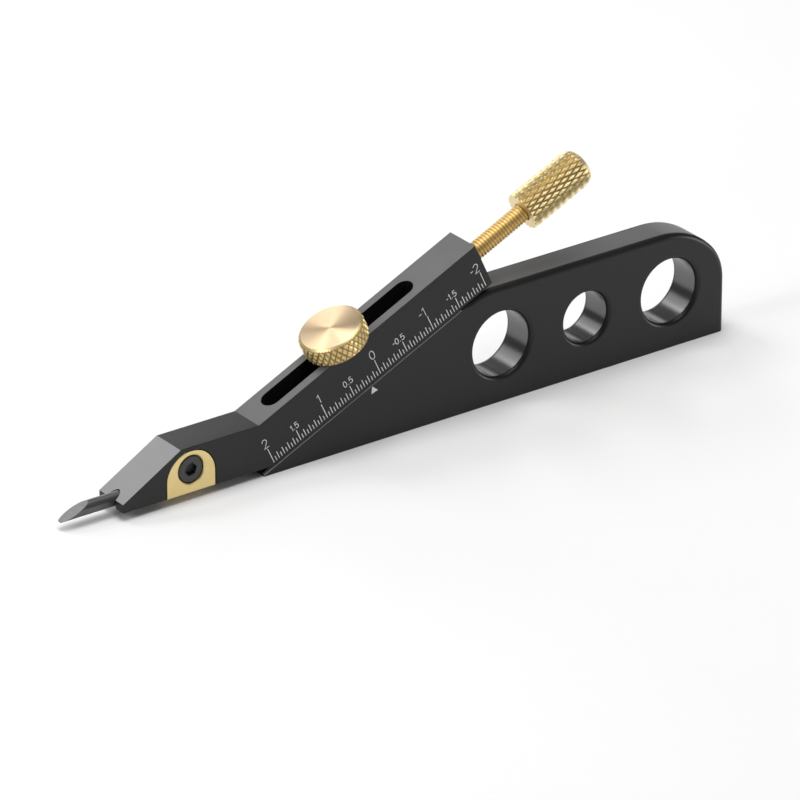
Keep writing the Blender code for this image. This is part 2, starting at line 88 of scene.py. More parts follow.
GRAIN_DETAIL = 3.0
PATCH_DETAIL = 4.0
NOISE_ROUGHNESS = 0.55
BLAST_GRAIN = 0.09 * MM
HANDLING_PATCHES = 9.0 * MM
ANODISED_IOR = 1.42
BORED_IOR = 2.0

base_low, base_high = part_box("base_body")
up_incline = Vector(joints["slide_travel"]["axis"])
INCLINE_ANGLE = math.atan2(up_incline.z, up_incline.x)
incline_foot = Vector((base_low.x - BASE_TIP_HEIGHT / math.tan(INCLINE_ANGLE), 0.0, 0.0))
# Names that end in S are distances up the incline from where its face would meet the floor
incline = Matrix.Translation(incline_foot) @ Matrix.Rotation(-INCLINE_ANGLE, 4, "Y")
ACROSS = Matrix.Rotation(math.pi / 2, 4, "X")


def rounded_outline(corners):
    """Points of a closed outline from (x, z, radius) corners, with each round as an arc."""
    points = []
    for index, (x, z, radius) in enumerate(corners):
        corner = Vector((x, z))
        if radius == 0.0:
            points.append(corner)
            continue
        before = (Vector(corners[index - 1][:2]) - corner).normalized()
        after = (Vector(corners[(index + 1) % len(corners)][:2]) - corner).normalized()
        half_angle = before.angle(after) / 2
        centre = corner + (before + after).normalized() * radius / math.sin(half_angle)
        start = corner + before * radius / math.tan(half_angle) - centre
        sweep = start.angle_signed(corner + after * radius / math.tan(half_angle) - centre)
        count = max(ARC_LEAST_STEPS, math.ceil(abs(sweep) / ARC_STEP))
        for step in range(count + 1):
            points.append(centre + Matrix.Rotation(-sweep * step / count, 2) @ start)
    return points


def add_piece(name, shape, place):
    """A new object from a bmesh, standing at the given matrix."""
    bmesh.ops.recalc_face_normals(shape, faces=shape.faces)
    mesh = bpy.data.meshes.new(name)
    shape.to_mesh(mesh)
    shape.free()
    piece = bpy.data.objects.new(name, mesh)
    scene.collection.objects.link(piece)
    piece.matrix_world = place
    return piece


def flat_bar(name, points, width, place):
    """An outline in the XZ plane, extruded evenly to both sides along Y."""
    shape = bmesh.new()
    side = shape.faces.new([shape.verts.new((x, -width / 2, z)) for x, z in points])
    grown = bmesh.ops.extrude_face_region(shape, geom=[side])
    moved = [item for item in grown["geom"] if isinstance(item, bmesh.types.BMVert)]
    bmesh.ops.translate(shape, verts=moved, vec=(0.0, width, 0.0))
    return add_piece(name, shape, place)


def block(name, low, high, place):
    shape = bmesh.new()
    bmesh.ops.create_cube(shape, size=1.0)
    bmesh.ops.scale(shape, verts=shape.verts, vec=Vector(high) - Vector(low))
    bmesh.ops.translate(shape, verts=shape.verts, vec=(Vector(low) + Vector(high)) / 2)
    return add_piece(name, shape, place)


def turned(name, profile, steps, place):
    """A (radius, height) profile turned about Z; ends on the axis close the form."""
    shape = bmesh.new()
    line = [shape.verts.new((radius, 0.0, height)) for radius, height in profile]
    edges = [shape.edges.new(pair) for pair in zip(line, line[1:])]
    bmesh.ops.spin(shape, geom=line + edges, cent=(0.0, 0.0, 0.0), axis=(0.0, 0.0, 1.0),
                   angle=2 * math.pi, steps=steps, use_merge=True)
    bmesh.ops.remove_doubles(shape, verts=shape.verts, dist=MERGE)
    return add_piece(name, shape, place)


def bore(name, radius, top, depth, place):
    """A plain round cutter about Z, from the top height down to a depth."""
    return turned(name, [(0.0, top), (radius, top), (radius, -depth), (0.0, -depth)], BORE_STEPS, place)


def combine(piece, tool, operation="DIFFERENCE"):
    """Cuts the tool out of the piece, or joins it on; the cut faces keep the tool's material."""
    boolean = piece.modifiers.new(tool.name, "BOOLEAN")
    boolean.operation = operation
    boolean.solver = "EXACT"
    boolean.material_mode = "TRANSFER"
    boolean.object = tool
    settle(piece)
    bpy.data.objects.remove(tool, do_unlink=True)


def settle(piece):
    """Puts the piece's modifiers into its mesh."""
    graph = bpy.context.evaluated_depsgraph_get()
    mesh = bpy.data.meshes.new_from_object(piece.evaluated_get(graph))
    piece.modifiers.clear()
    piece.data = mesh


def stand_upright(piece):
    """Turns the mesh itself, so that the piece's own axes are the room's."""
    piece.data.transform(piece.matrix_world)
    piece.matrix_world = Matrix.Identity(4)


def smooth(piece, sharp_angle=SHARP_ANGLE):
    """Smooth shading that breaks where faces meet at more than the angle."""
    piece.data.shade_smooth()
    piece.data.set_sharp_from_angle(angle=sharp_angle)


def smooth_rounds(piece):
    """Smooth rounds beside flat faces that stay flat."""
    smooth(piece)
    normals = piece.modifiers.new("flat_faces", "WEIGHTED_NORMAL")
    normals.keep_sharp = True
    normals.weight = FLAT_FACE_WEIGHT


def give_finishes(piece, *finishes):
    """Lists the piece's materials; the first covers it until faces are given another."""
    for finish in finishes:
        piece.data.materials.append(finish)


def give_face(piece, face, finish):
    face.material_index = piece.data.materials.find(finish.name)


def new_node(tree, kind, inputs=None, **settings):
    item = tree.nodes.new(kind)
    for name, value in settings.items():
        setattr(item, name, value)
    for name, value in (inputs or {}).items():
        item.inputs[name].default_value = value
    return item


def new_material(name, **inputs):
    """A material with one Principled shader, whose even values are set on its own sockets."""
    material = bpy.data.materials.new(name)
    material.use_nodes = True
    shader = material.node_tree.nodes["Principled BSDF"]
    for socket, value in inputs.items():
        shader.inputs[socket.replace("_", " ")].default_value = value
    return material, material.node_tree, shader


def colour_between(tree, value, dark, light):
    """A colour that runs from dark to light with the value."""
    ramp = new_node(tree, "ShaderNodeValToRGB")
    ramp.color_ramp.elements[0].color = (*dark, 1.0)
    ramp.color_ramp.elements[1].color = (*light, 1.0)
    tree.links.new(value, ramp.inputs["Fac"])
    return ramp.outputs["Color"]


def value_between(tree, value, low, high):
    span = new_node(tree, "ShaderNodeMapRange", {"To Min": low, "To Max": high})
    tree.links.new(value, span.inputs["Value"])
    return span.outputs["Result"]


def add_relief(tree, shader, height, depth):
    bump = new_node(tree, "ShaderNodeBump", {"Strength": 1.0, "Distance": depth})
    tree.links.new(height, bump.inputs["Height"])
    tree.links.new(bump.outputs["Normal"], shader.inputs["Normal"])


def make_grain_group():
    """Fine grain of a blasted or handled surface, and the broad cloudy patches over it."""
    group = bpy.data.node_groups.new("surface_grain", "ShaderNodeTree")
    for name in ("Grain Size", "Patch Size"):
        group.interface.new_socket(name, in_out="INPUT", socket_type="NodeSocketFloat")
    for name in ("Grain", "Patches"):
        group.interface.new_socket(name, in_out="OUTPUT", socket_type="NodeSocketFloat")
    sizes = new_node(group, "NodeGroupInput")
    results = new_node(group, "NodeGroupOutput")
    place = new_node(group, "ShaderNodeTexCoord")
    kinds = (("Grain Size", "Grain", GRAIN_DETAIL), ("Patch Size", "Patches", PATCH_DETAIL))
    for size, result, detail in kinds:
        scale = new_node(group, "ShaderNodeMath", {0: 1.0}, operation="DIVIDE")
        noise = new_node(group, "ShaderNodeTexNoise", {"Detail": detail, "Roughness": NOISE_ROUGHNESS})
        group.links.new(sizes.outputs[size], scale.inputs[1])
        group.links.new(scale.outputs[0], noise.inputs["Scale"])
        group.links.new(place.outputs["Object"], noise.inputs["Vector"])
        group.links.new(noise.outputs["Fac"], results.inputs[result])
    return group


def add_group(tree, group, **inputs):
    item = new_node(tree, "ShaderNodeGroup", node_tree=group)
    for name, value in inputs.items():
        item.inputs[name.replace("_", " ")].default_value = value
    return item.outputs


def make_anodised(name, dark, light, rough, grain_depth, gloss=ANODISED_IOR):
    """Black anodised aluminium over a fine bead blast, with faint cloudy patches from handling; its lighter
    grey copies are painted sheen.
    """
    material, tree, shader = new_material(name, Metallic=0.0, IOR=gloss)
    grain = add_group(tree, surface_grain, Grain_Size=BLAST_GRAIN, Patch_Size=HANDLING_PATCHES)
    tree.links.new(colour_between(tree, grain["Patches"], dark, light), shader.inputs["Base Color"])
    tree.links.new(value_between(tree, grain["Patches"], *rough), shader.inputs["Roughness"])
    add_relief(tree, shader, grain["Grain"], grain_depth)
    return material


surface_grain = make_grain_group()
BLACK_ANODISED = make_anodised("black_anodised", dark=(0.004, 0.004, 0.0042), light=(0.007, 0.007, 0.0074),
                               rough=(0.33, 0.43), grain_depth=0.0025 * MM)
BORED_ANODISED = make_anodised("bored_anodised", dark=(0.008, 0.008, 0.0085), light=(0.014, 0.014, 0.015),
                               rough=(0.23, 0.29), grain_depth=0.001 * MM, gloss=BORED_IOR)
# The base's top and tail faces get a grey copy of the black anodising: painted sheen from the lamps above
# and behind.
BASE_TAIL_PAINTED_SHEEN = make_anodised("base_tail_painted_sheen", dark=(0.085, 0.085, 0.085), light=(0.115, 0.115, 0.115),
                               rough=(0.36, 0.46), grain_depth=0.003 * MM)
# A still lighter grey copy for the nose bevel and the incline's narrow chamfers: a painted highlight.
BEVEL_PAINTED_HIGHLIGHT = make_anodised("bevel_painted_highlight", dark=(0.23, 0.23, 0.23), light=(0.29, 0.29, 0.29),
                               rough=(0.45, 0.55), grain_depth=0.003 * MM)


def weigh_base_edges(mesh):
    """The rear outline is rounded over; the edges of the incline stay crisp."""
    shape = bmesh.new()
    shape.from_mesh(mesh)
    weight = shape.edges.layers.float.new("bevel_weight_edge")
    for edge in shape.edges:
        ends = [vert.co for vert in edge.verts]
        if ends[0].y * ends[1].y < 0.0:
            continue
        if all(end.x > shoulder_x - MERGE for end in ends):
            edge[weight] = 1.0
        elif all(end.z > base_low.z for end in ends):
            edge[weight] = INCLINE_EDGE / BASE_EDGE_ROUND
    shape.to_mesh(mesh)
    shape.free()


def hole_profile(radius, half_width):
    """Section of a bore whose rim is rounded over at both faces."""
    flare = radius + HOLE_ROUND
    outer = half_width + CUT_MARGIN
    angles = [math.pi / 2 * step / ROUND_SEGMENTS for step in range(ROUND_SEGMENTS + 1)]
    rim = [(flare - HOLE_ROUND * math.sin(angle), half_width - HOLE_ROUND * (1 - math.cos(angle)))
           for angle in angles]
    far_rim = [(spoke, -side) for spoke, side in reversed(rim)]
    return [(0.0, outer), (flare, outer), *rim, *far_rim, (flare, -outer), (0.0, -outer)]


incline_top_x = incline_foot.x + base_high.z / math.tan(INCLINE_ANGLE)
shoulder_run = BASE_SHOULDER_RADIUS * math.tan(INCLINE_ANGLE / 2)
shoulder_x = incline_top_x - shoulder_run
crisp_end = Vector((incline_top_x, 0.0, base_high.z)) - up_incline * (shoulder_run + EDGE_RUN_OUT)
base_width = base_high.y - base_low.y
sawn_foot = base_low.z - 2 * BASE_EDGE_ROUND
base = flat_bar("base_bar", rounded_outline([
    (base_low.x, sawn_foot, 0.0),
    (base_high.x, sawn_foot, 0.0),
    (base_high.x, base_high.z - TAIL_CUT_DROP, TAIL_SIDE_RADIUS),
    (base_high.x - TAIL_CUT_RUN, base_high.z, TAIL_TOP_RADIUS),
    (incline_top_x, base_high.z, BASE_SHOULDER_RADIUS),
    (crisp_end.x, crisp_end.z, 0.0),
    (base_low.x, BASE_TIP_HEIGHT, 0.0),
]), base_width, Matrix.Identity(4))
give_finishes(base, BLACK_ANODISED, BASE_TAIL_PAINTED_SHEEN, BEVEL_PAINTED_HIGHLIGHT)
weigh_base_edges(base.data)
edges = base.modifiers.new("edges", "BEVEL")
edges.width = BASE_EDGE_ROUND
edges.use_clamp_overlap = False
edges.segments = ROUND_SEGMENTS
edges.limit_method = "WEIGHT"
settle(base)
for face in base.data.polygons:
    # Painted sheen: the top and tail faces behind the shoulder take the lighter grey anodising.
    if face.center.x > shoulder_x and abs(face.normal.y) < FLAT_TOLERANCE:
        give_face(base, face, BASE_TAIL_PAINTED_SHEEN)
    # Painted highlight: the incline's narrow chamfers take the light grey bevel anodising.
    elif face.center.x < crisp_end.x and FLAT_TOLERANCE < abs(face.normal.y) < 1 - FLAT_TOLERANCE:
        give_face(base, face, BEVEL_PAINTED_HIGHLIGHT)
foot = block("foot", (base_low.x - CUT_MARGIN, -base_width, sawn_foot - CUT_MARGIN),
             (base_high.x + CUT_MARGIN, base_width, base_low.z), Matrix.Identity(4))
give_finishes(foot, BLACK_ANODISED)
combine(base, foot)
for index, radius in enumerate(HOLE_RADII):
    centre = Vector((base_high.x - HOLE_INSET - index * HOLE_PITCH, 0.0, HOLE_HEIGHT))
    hole = turned("hole", hole_profile(radius, base_width / 2), HOLE_STEPS,
                  Matrix.Translation(centre) @ ACROSS)
    give_finishes(hole, BLACK_ANODISED, BORED_ANODISED)
    for face in hole.data.polygons:
        if abs(face.center.z) < base_width / 2 - HOLE_ROUND:
            give_face(hole, face, BORED_ANODISED)
    combine(base, hole)
rib = block("rib", (RIB_START, -RIB_HALF_WIDTH, -CUT_MARGIN),
            (RIB_START + RIB_LENGTH, RIB_HALF_WIDTH, RIB_HEIGHT), incline)
give_finishes(rib, BLACK_ANODISED)
combine(base, rib, "UNION")
stud_hole = bore("stud_hole", STUD_HOLE_RADIUS, CUT_MARGIN, STUD_HOLE_DEPTH,
                 incline @ Matrix.Translation((STUD_S, 0.0, 0.0)))
give_finishes(stud_hole, BORED_ANODISED)
combine(base, stud_hole)
smooth_rounds(base)
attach(base, "base")
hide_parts("base_body")

# Slide arm
# A second black anodised bar that lies on the incline, with a long slot for the lock stud and a level
# nose milled in front. A groove under the nose takes the lead, and a pocket in its side the clamp.
SLIDE_CLEARANCE = 0.25 * MM
SLIDE_THICKNESS = 10.2 * MM
SLIDE_LENGTH = 58.9 * MM
SLOT_HALF_WIDTH = 2.2 * MM
SLOT_HALF_LENGTH = 19.7 * MM
NOSE_LENGTH = 35.2 * MM
NOSE_HEIGHT = 9.75 * MM
NOSE_BEVEL_RUN = 13.6 * MM
NOSE_TIP_LAND = 1.9 * MM
HEEL_RELIEF = 0.5 * MM
KEYWAY_HEIGHT = 2.3 * MM
ROD_DROP = 4.5 * MM
ROD_HOLE_RADIUS = 1.98 * MM
SLOT_REAR_WALL = 13.95 * MM
LEAD_HEIGHT = 1.45 * MM
GROOVE_RADIUS = 1.6 * MM
GROOVE_LENGTH = 31.0 * MM
CLAMP_RADIUS = 5.65 * MM
CLAMP_HEIGHT = 8.9 * MM
CLAMP_SETBACK = 16.0 * MM
CLAMP_POCKET_GAP = 0.2 * MM
CLAMP_POCKET_DEPTH = 2.65 * MM
SCREW_HOLE_RADIUS = 1.35 * MM
SCREW_HOLE_DEPTH = 7.45 * MM
SLIDE_EDGE = 0.15 * MM
SLIDE_EDGE_SEGMENTS = 2
SLIDE_EDGE_ANGLE = math.radians(15.0)
FACE_TOLERANCE = math.radians(2.0)

slide_low, slide_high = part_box("slide_arm")
slide_side = slide_high.y
nose_front_x, nose_lift = slide_low.x, slide_low.z
nose = Matrix.Translation((nose_front_x, 0.0, nose_lift))
slide_top = SLIDE_CLEARANCE + SLIDE_THICKNESS
heel_s = (nose_lift - SLIDE_CLEARANCE * math.cos(INCLINE_ANGLE)) / math.sin(INCLINE_ANGLE)
slide_rear_s = heel_s + SLIDE_LENGTH
screw_point = Vector(joints["clamp_turn"]["pos_m"])
screw_height = screw_point.z - nose_lift


def along_incline(x, z):
    """World X and Z as distance up the incline and height off it."""
    local = incline.inverted() @ Vector((x, 0.0, z))
    return local.x, local.z


def round_top(radius, height):
    """The upper half of a circle, from +X over the top to -X."""
    count = math.ceil(math.pi / ARC_STEP)
    angles = [math.pi * step / count for step in range(count + 1)]
    return [(radius * math.cos(angle), height + radius * math.sin(angle)) for angle in angles]


def clamp_outline(radius, foot):
    """The round-topped clamp plate, straight-sided down to its foot."""
    return [(radius, foot)] + round_top(radius, CLAMP_HEIGHT - CLAMP_RADIUS) + [(-radius, foot)]


def break_edges(piece, width, segments, angle):
    """Takes the sharpness off every edge that turns by more than the angle."""
    edges = piece.modifiers.new("edges", "BEVEL")
    edges.width = width
    edges.segments = segments
    edges.limit_method = "ANGLE"
    edges.angle_limit = angle
    settle(piece)


# The slide's top face gets a grey copy of the black anodising: painted sheen from the lamps above and
# behind.
SLIDE_TOP_PAINTED_SHEEN = make_anodised("slide_top_painted_sheen", dark=(0.10, 0.10, 0.10), light=(0.14, 0.14, 0.14),
                             rough=(0.42, 0.52), grain_depth=0.003 * MM)
nose_top = nose_lift + NOSE_HEIGHT
bend_s = (nose_top - slide_top * math.cos(INCLINE_ANGLE)) / math.sin(INCLINE_ANGLE)
slide = flat_bar("slide_bar", [
    (heel_s + HEEL_RELIEF, SLIDE_CLEARANCE),
    (slide_rear_s, SLIDE_CLEARANCE),
    (slide_rear_s, slide_top),
    (bend_s, slide_top),
    along_incline(nose_front_x + NOSE_BEVEL_RUN, nose_top),
    along_incline(nose_front_x, nose_lift + NOSE_TIP_LAND),
    along_incline(nose_front_x, nose_lift),
    along_incline(nose_front_x + NOSE_LENGTH - HEEL_RELIEF, nose_lift),
], 2 * slide_side, incline)
give_finishes(slide, BLACK_ANODISED, SLIDE_TOP_PAINTED_SHEEN, BEVEL_PAINTED_HIGHLIGHT)
bevel_tilt = math.atan2(NOSE_HEIGHT - NOSE_TIP_LAND, NOSE_BEVEL_RUN) - INCLINE_ANGLE
bevel_way = Vector((-math.sin(bevel_tilt), 0.0, math.cos(bevel_tilt)))
for face in slide.data.polygons:
    # Painted sheen: the top face takes the lighter grey anodising.
    if face.normal.z > math.cos(FACE_TOLERANCE):
        give_face(slide, face, SLIDE_TOP_PAINTED_SHEEN)
    # Painted highlight: the nose bevel takes the light grey bevel anodising.
    elif face.normal.angle(bevel_way) < FACE_TOLERANCE:
        give_face(slide, face, BEVEL_PAINTED_HIGHLIGHT)
break_edges(slide, SLIDE_EDGE, SLIDE_EDGE_SEGMENTS, SLIDE_EDGE_ANGLE)

slot = flat_bar("slot", rounded_outline([
    (STUD_S - SLOT_HALF_LENGTH, -SLOT_HALF_WIDTH, SLOT_HALF_WIDTH),
    (STUD_S + SLOT_HALF_LENGTH, -SLOT_HALF_WIDTH, SLOT_HALF_WIDTH),
    (STUD_S + SLOT_HALF_LENGTH, SLOT_HALF_WIDTH, SLOT_HALF_WIDTH),
    (STUD_S - SLOT_HALF_LENGTH, SLOT_HALF_WIDTH, SLOT_HALF_WIDTH),
]), 2 * (slide_top + CUT_MARGIN), incline @ ACROSS)
keyway = block("keyway", (STUD_S, -SLOT_HALF_WIDTH, -CUT_MARGIN),
               (slide_rear_s + CUT_MARGIN, SLOT_HALF_WIDTH, KEYWAY_HEIGHT), incline)
rod_axis = incline @ Matrix.Translation((slide_rear_s, 0.0, slide_top - ROD_DROP))
rod_axis = rod_axis @ Matrix.Rotation(math.pi / 2, 4, "Y")
rod_hole_depth = SLOT_REAR_WALL + SLOT_HALF_WIDTH
rod_hole = bore("rod_hole", ROD_HOLE_RADIUS, CUT_MARGIN, rod_hole_depth, rod_axis)
groove_run = GROOVE_LENGTH + CUT_MARGIN
groove_outline = [(GROOVE_RADIUS, -LEAD_HEIGHT - CUT_MARGIN)] + round_top(GROOVE_RADIUS, 0.0)
groove_outline += [(-GROOVE_RADIUS, -LEAD_HEIGHT - CUT_MARGIN)]
groove = flat_bar("groove", groove_outline, groove_run,
                  nose @ Matrix.Translation((groove_run / 2 - CUT_MARGIN, 0.0, LEAD_HEIGHT))
                  @ Matrix.Rotation(math.pi / 2, 4, "Z"))
pocket_middle = (CLAMP_POCKET_DEPTH - CUT_MARGIN) / 2 - slide_side
pocket = flat_bar("pocket", clamp_outline(CLAMP_RADIUS + CLAMP_POCKET_GAP, -CUT_MARGIN),
                  CLAMP_POCKET_DEPTH + CUT_MARGIN,
                  nose @ Matrix.Translation((CLAMP_SETBACK, pocket_middle, 0.0)))
screw_axis = nose @ Matrix.Translation((CLAMP_SETBACK, -slide_side, screw_height)) @ ACROSS
screw_hole = bore("screw_hole", SCREW_HOLE_RADIUS, -CUT_MARGIN, SCREW_HOLE_DEPTH, screw_axis)
for tool in (slot, keyway, rod_hole, groove, pocket, screw_hole):
    give_finishes(tool, BORED_ANODISED)
    combine(slide, tool)
stand_upright(slide)
smooth_rounds(slide)
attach(slide, "slide")
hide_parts("slide_arm")

# Scale and pointer
# White marks burnt through the black skin with a laser: a two-way scale with figures along the slide's
# front face, and one small arrow on the base that reads it.
SCALE_ZERO_S = 32.42 * MM
SCALE_UNIT = 14.175 * MM
SCALE_REACH = 2
TICKS_PER_UNIT = 20
TICK_FOOT = 0.85 * MM
TICK_LENGTHS = {20: 3.6 * MM, 10: 2.6 * MM, 2: 1.75 * MM, 1: 1.1 * MM}
TICK_WIDTH = 0.17 * MM
MARK_PROUD = 0.012 * MM
MARK_SUNK = 0.03 * MM
UNIT_FIGURE_HEIGHT = 2.0 * MM
HALF_FIGURE_HEIGHT = 1.35 * MM
FIGURE_GAP = 0.4 * MM
FIGURE_SPACE = 0.16
FIGURE_STROKE = 0.16 * MM
MINUS_SHIFT = 0.35 * MM
POINTER_TIP = (29.55 * MM, -0.35 * MM)
POINTER_FOOT = ((30.35 * MM, -1.9 * MM), (28.72 * MM, -1.75 * MM))
FIGURE_ARC_STEPS = 20
MITRE_LIMIT = 0.5
BURN_GRAIN = 0.12 * MM
BURN_PATCHES = 1.2 * MM
BURN_DEPTH = 0.004 * MM
BURN_DARK = (0.52, 0.52, 0.51)
BURN_LIGHT = (0.92, 0.92, 0.90)
BURN_ROUGH = (0.55, 0.75)


def arc(centre_x, centre_y, radius_x, radius_y, start, end):
    """Points along part of an ellipse; angles in degrees from +X."""
    angles = [math.radians(start + (end - start) * step / FIGURE_ARC_STEPS)
              for step in range(FIGURE_ARC_STEPS + 1)]
    return [(centre_x + radius_x * math.cos(a), centre_y + radius_y * math.sin(a)) for a in angles]


# Width and single strokes of each sign, in a box one high
SIGNS = {
    "0": (0.54, [arc(0.27, 0.5, 0.27, 0.5, 90, 450)]),
    "1": (0.24, [[(0.0, 0.78), (0.22, 1.0), (0.22, 0.0)]]),
    "2": (0.56, [arc(0.27, 0.73, 0.27, 0.27, 170, -35) + [(0.0, 0.0), (0.56, 0.0)]]),
    "5": (0.54, [[(0.5, 1.0), (0.08, 1.0), (0.04, 0.55)] + arc(0.26, 0.32, 0.28, 0.32, 125, -150)]),
    ".": (0.24, [[(0.12, 0.0), (0.12, 0.13)]]),
    "-": (0.34, [[(0.0, 0.48), (0.34, 0.48)]]),
}


def add_stroke(shape, points, width):
    """A flat ribbon of the given width along the points, in the XZ plane."""
    spots = [Vector(point) for point in points]
    rails = []
    for index, spot in enumerate(spots):
        ways = []
        if index > 0:
            ways.append((spot - spots[index - 1]).normalized())
        if index < len(spots) - 1:
            ways.append((spots[index + 1] - spot).normalized())
        along = sum(ways, Vector((0.0, 0.0))).normalized()
        aside = Vector((-along.y, along.x)) * (width / 2) / max(MITRE_LIMIT, along.dot(ways[0]))
        rails.append([shape.verts.new((p.x, 0.0, p.y)) for p in (spot - aside, spot + aside)])
    for (a, b), (c, d) in zip(rails, rails[1:]):
        shape.faces.new((a, c, d, b))


def add_figure(shape, text, centre_s, height, foot_h):
    """A figure written along the incline: its digits stand over the tick, and a minus stands before them."""
    widths = [SIGNS[sign][0] * height for sign in text]
    space = FIGURE_SPACE * height
    start = centre_s - (sum(widths) + space * (len(text) - 1)) / 2
    if text[0] == "-":
        start -= (widths[0] + space) / 2 + MINUS_SHIFT
    for sign, width in zip(text, widths):
        for stroke in SIGNS[sign][1]:
            points = [(start + x * height, foot_h + y * height) for x, y in stroke]
            add_stroke(shape, points, FIGURE_STROKE)
        start += width + space


def thicken(shape):
    """Gives flat marks their thickness, a little proud of the face and a little sunk in it."""
    grown = bmesh.ops.extrude_face_region(shape, geom=shape.faces[:])
    moved = [item for item in grown["geom"] if isinstance(item, bmesh.types.BMVert)]
    bmesh.ops.translate(shape, verts=moved, vec=(0.0, MARK_PROUD + MARK_SUNK, 0.0))


def make_laser_white():
    """Bare, burnt-white oxide: dull, and uneven from pulse to pulse."""
    material, tree, shader = new_material("laser_white", Metallic=0.0)
    grain = add_group(tree, surface_grain, Grain_Size=BURN_GRAIN, Patch_Size=BURN_PATCHES)
    tree.links.new(colour_between(tree, grain["Grain"], BURN_DARK, BURN_LIGHT), shader.inputs["Base Color"])
    tree.links.new(value_between(tree, grain["Patches"], *BURN_ROUGH), shader.inputs["Roughness"])
    add_relief(tree, shader, grain["Grain"], BURN_DEPTH)
    return material


LASER_WHITE = make_laser_white()
marks = bmesh.new()
for count in range(-SCALE_REACH * TICKS_PER_UNIT, SCALE_REACH * TICKS_PER_UNIT + 1):
    tick_s = SCALE_ZERO_S - SCALE_UNIT * count / TICKS_PER_UNIT
    length = next(TICK_LENGTHS[every] for every in TICK_LENGTHS if count % every == 0)
    add_stroke(marks, [(tick_s, TICK_FOOT), (tick_s, TICK_FOOT + length)], TICK_WIDTH)
    if count % (TICKS_PER_UNIT // 2) == 0:
        whole = count % TICKS_PER_UNIT == 0
        value = count / TICKS_PER_UNIT
        add_figure(marks, f"{value:.0f}" if whole else f"{value:.1f}", tick_s,
                   UNIT_FIGURE_HEIGHT if whole else HALF_FIGURE_HEIGHT, TICK_FOOT + length + FIGURE_GAP)
thicken(marks)
scale_marks = add_piece("scale_marks", marks,
                        incline @ Matrix.Translation((0.0, -slide_side - MARK_PROUD, 0.0)))
stand_upright(scale_marks)
give_finishes(scale_marks, LASER_WHITE)
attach(scale_marks, "slide")

arrow = bmesh.new()
arrow.faces.new([arrow.verts.new((s, 0.0, h)) for s, h in (POINTER_TIP, *POINTER_FOOT)])
thicken(arrow)
pointer = add_piece("scale_pointer", arrow,
                    incline @ Matrix.Translation((0.0, base_low.y - MARK_PROUD, 0.0)))
stand_upright(pointer)
give_finishes(pointer, LASER_WHITE)
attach(pointer, "base")

# Lock stud and adjusting rod
# Two lengths of brass screw thread. The stud stands in the base and passes through the slide's slot;
# the rod runs in a tapped hole in the slide's rear wall and carries the knurled head.
THREAD_PITCH = 0.7 * MM
THREAD_CREST = 1.9 * MM
THREAD_ROOT = 1.66 * MM
THREAD_STEPS = 40
SPARE_TURNS = 3
SQUARE_CUT = 0.9
THREAD_SECTION = ((0.0, THREAD_ROOT), (0.28, THREAD_ROOT), (0.5, THREAD_CREST), (0.78, THREAD_CREST))
STUD_LENGTH = 20.65 * MM
STUD_DEPTH = 8.0 * MM
ROD_EXPOSED = 14.1 * MM
ROD_IN_HEAD = 5.7 * MM
ROD_TIP_SETBACK = 0.5 * MM
BRASS_PATCHES = 3.5 * MM
LATHE_PITCH = 0.05 * MM
LATHE_DEPTH = 0.001 * MM
LATHE_DETAIL = 2.0


def cut_off(shape, point, outward):
    """Takes away what lies beyond a plane and leaves the cut open."""
    everything = shape.verts[:] + shape.edges[:] + shape.faces[:]
    bmesh.ops.bisect_plane(shape, geom=everything, dist=MERGE, plane_co=point, plane_no=outward,
                           clear_outer=True)


def close_cuts(shape):
    """Fills the open cuts and gives back the new faces."""
    open_edges = [edge for edge in shape.edges if edge.is_boundary]
    return bmesh.ops.holes_fill(shape, edges=open_edges, sides=0)["faces"]


def threaded(name, length, place):
    """A rod along Z with a right-hand thread: rows follow the helix, and both ends are cut square."""
    rows_per_turn = len(THREAD_SECTION)
    turns = math.ceil(length / THREAD_PITCH) + SPARE_TURNS
    shape = bmesh.new()
    columns = []
    for step in range(THREAD_STEPS):
        angle = 2 * math.pi * step / THREAD_STEPS
        lift = step / THREAD_STEPS - SPARE_TURNS / 2
        columns.append([shape.verts.new((radius * math.cos(angle), radius * math.sin(angle),
                                         (turn + part + lift) * THREAD_PITCH))
                        for turn in range(turns) for part, radius in THREAD_SECTION])
    for step in range(THREAD_STEPS):
        near = columns[step]
        far = columns[(step + 1) % THREAD_STEPS]
        shift = rows_per_turn if step == THREAD_STEPS - 1 else 0
        for row in range(len(near) - 1 - shift):
            shape.faces.new((near[row], far[row + shift], far[row + 1 + shift], near[row + 1]))
    for height, outward in ((0.0, -1.0), (length, 1.0)):
        cut_off(shape, (0.0, 0.0, height), (0.0, 0.0, outward))
    bmesh.ops.remove_doubles(shape, verts=shape.verts, dist=MERGE)
    close_cuts(shape)
    return add_piece(name, shape, place)


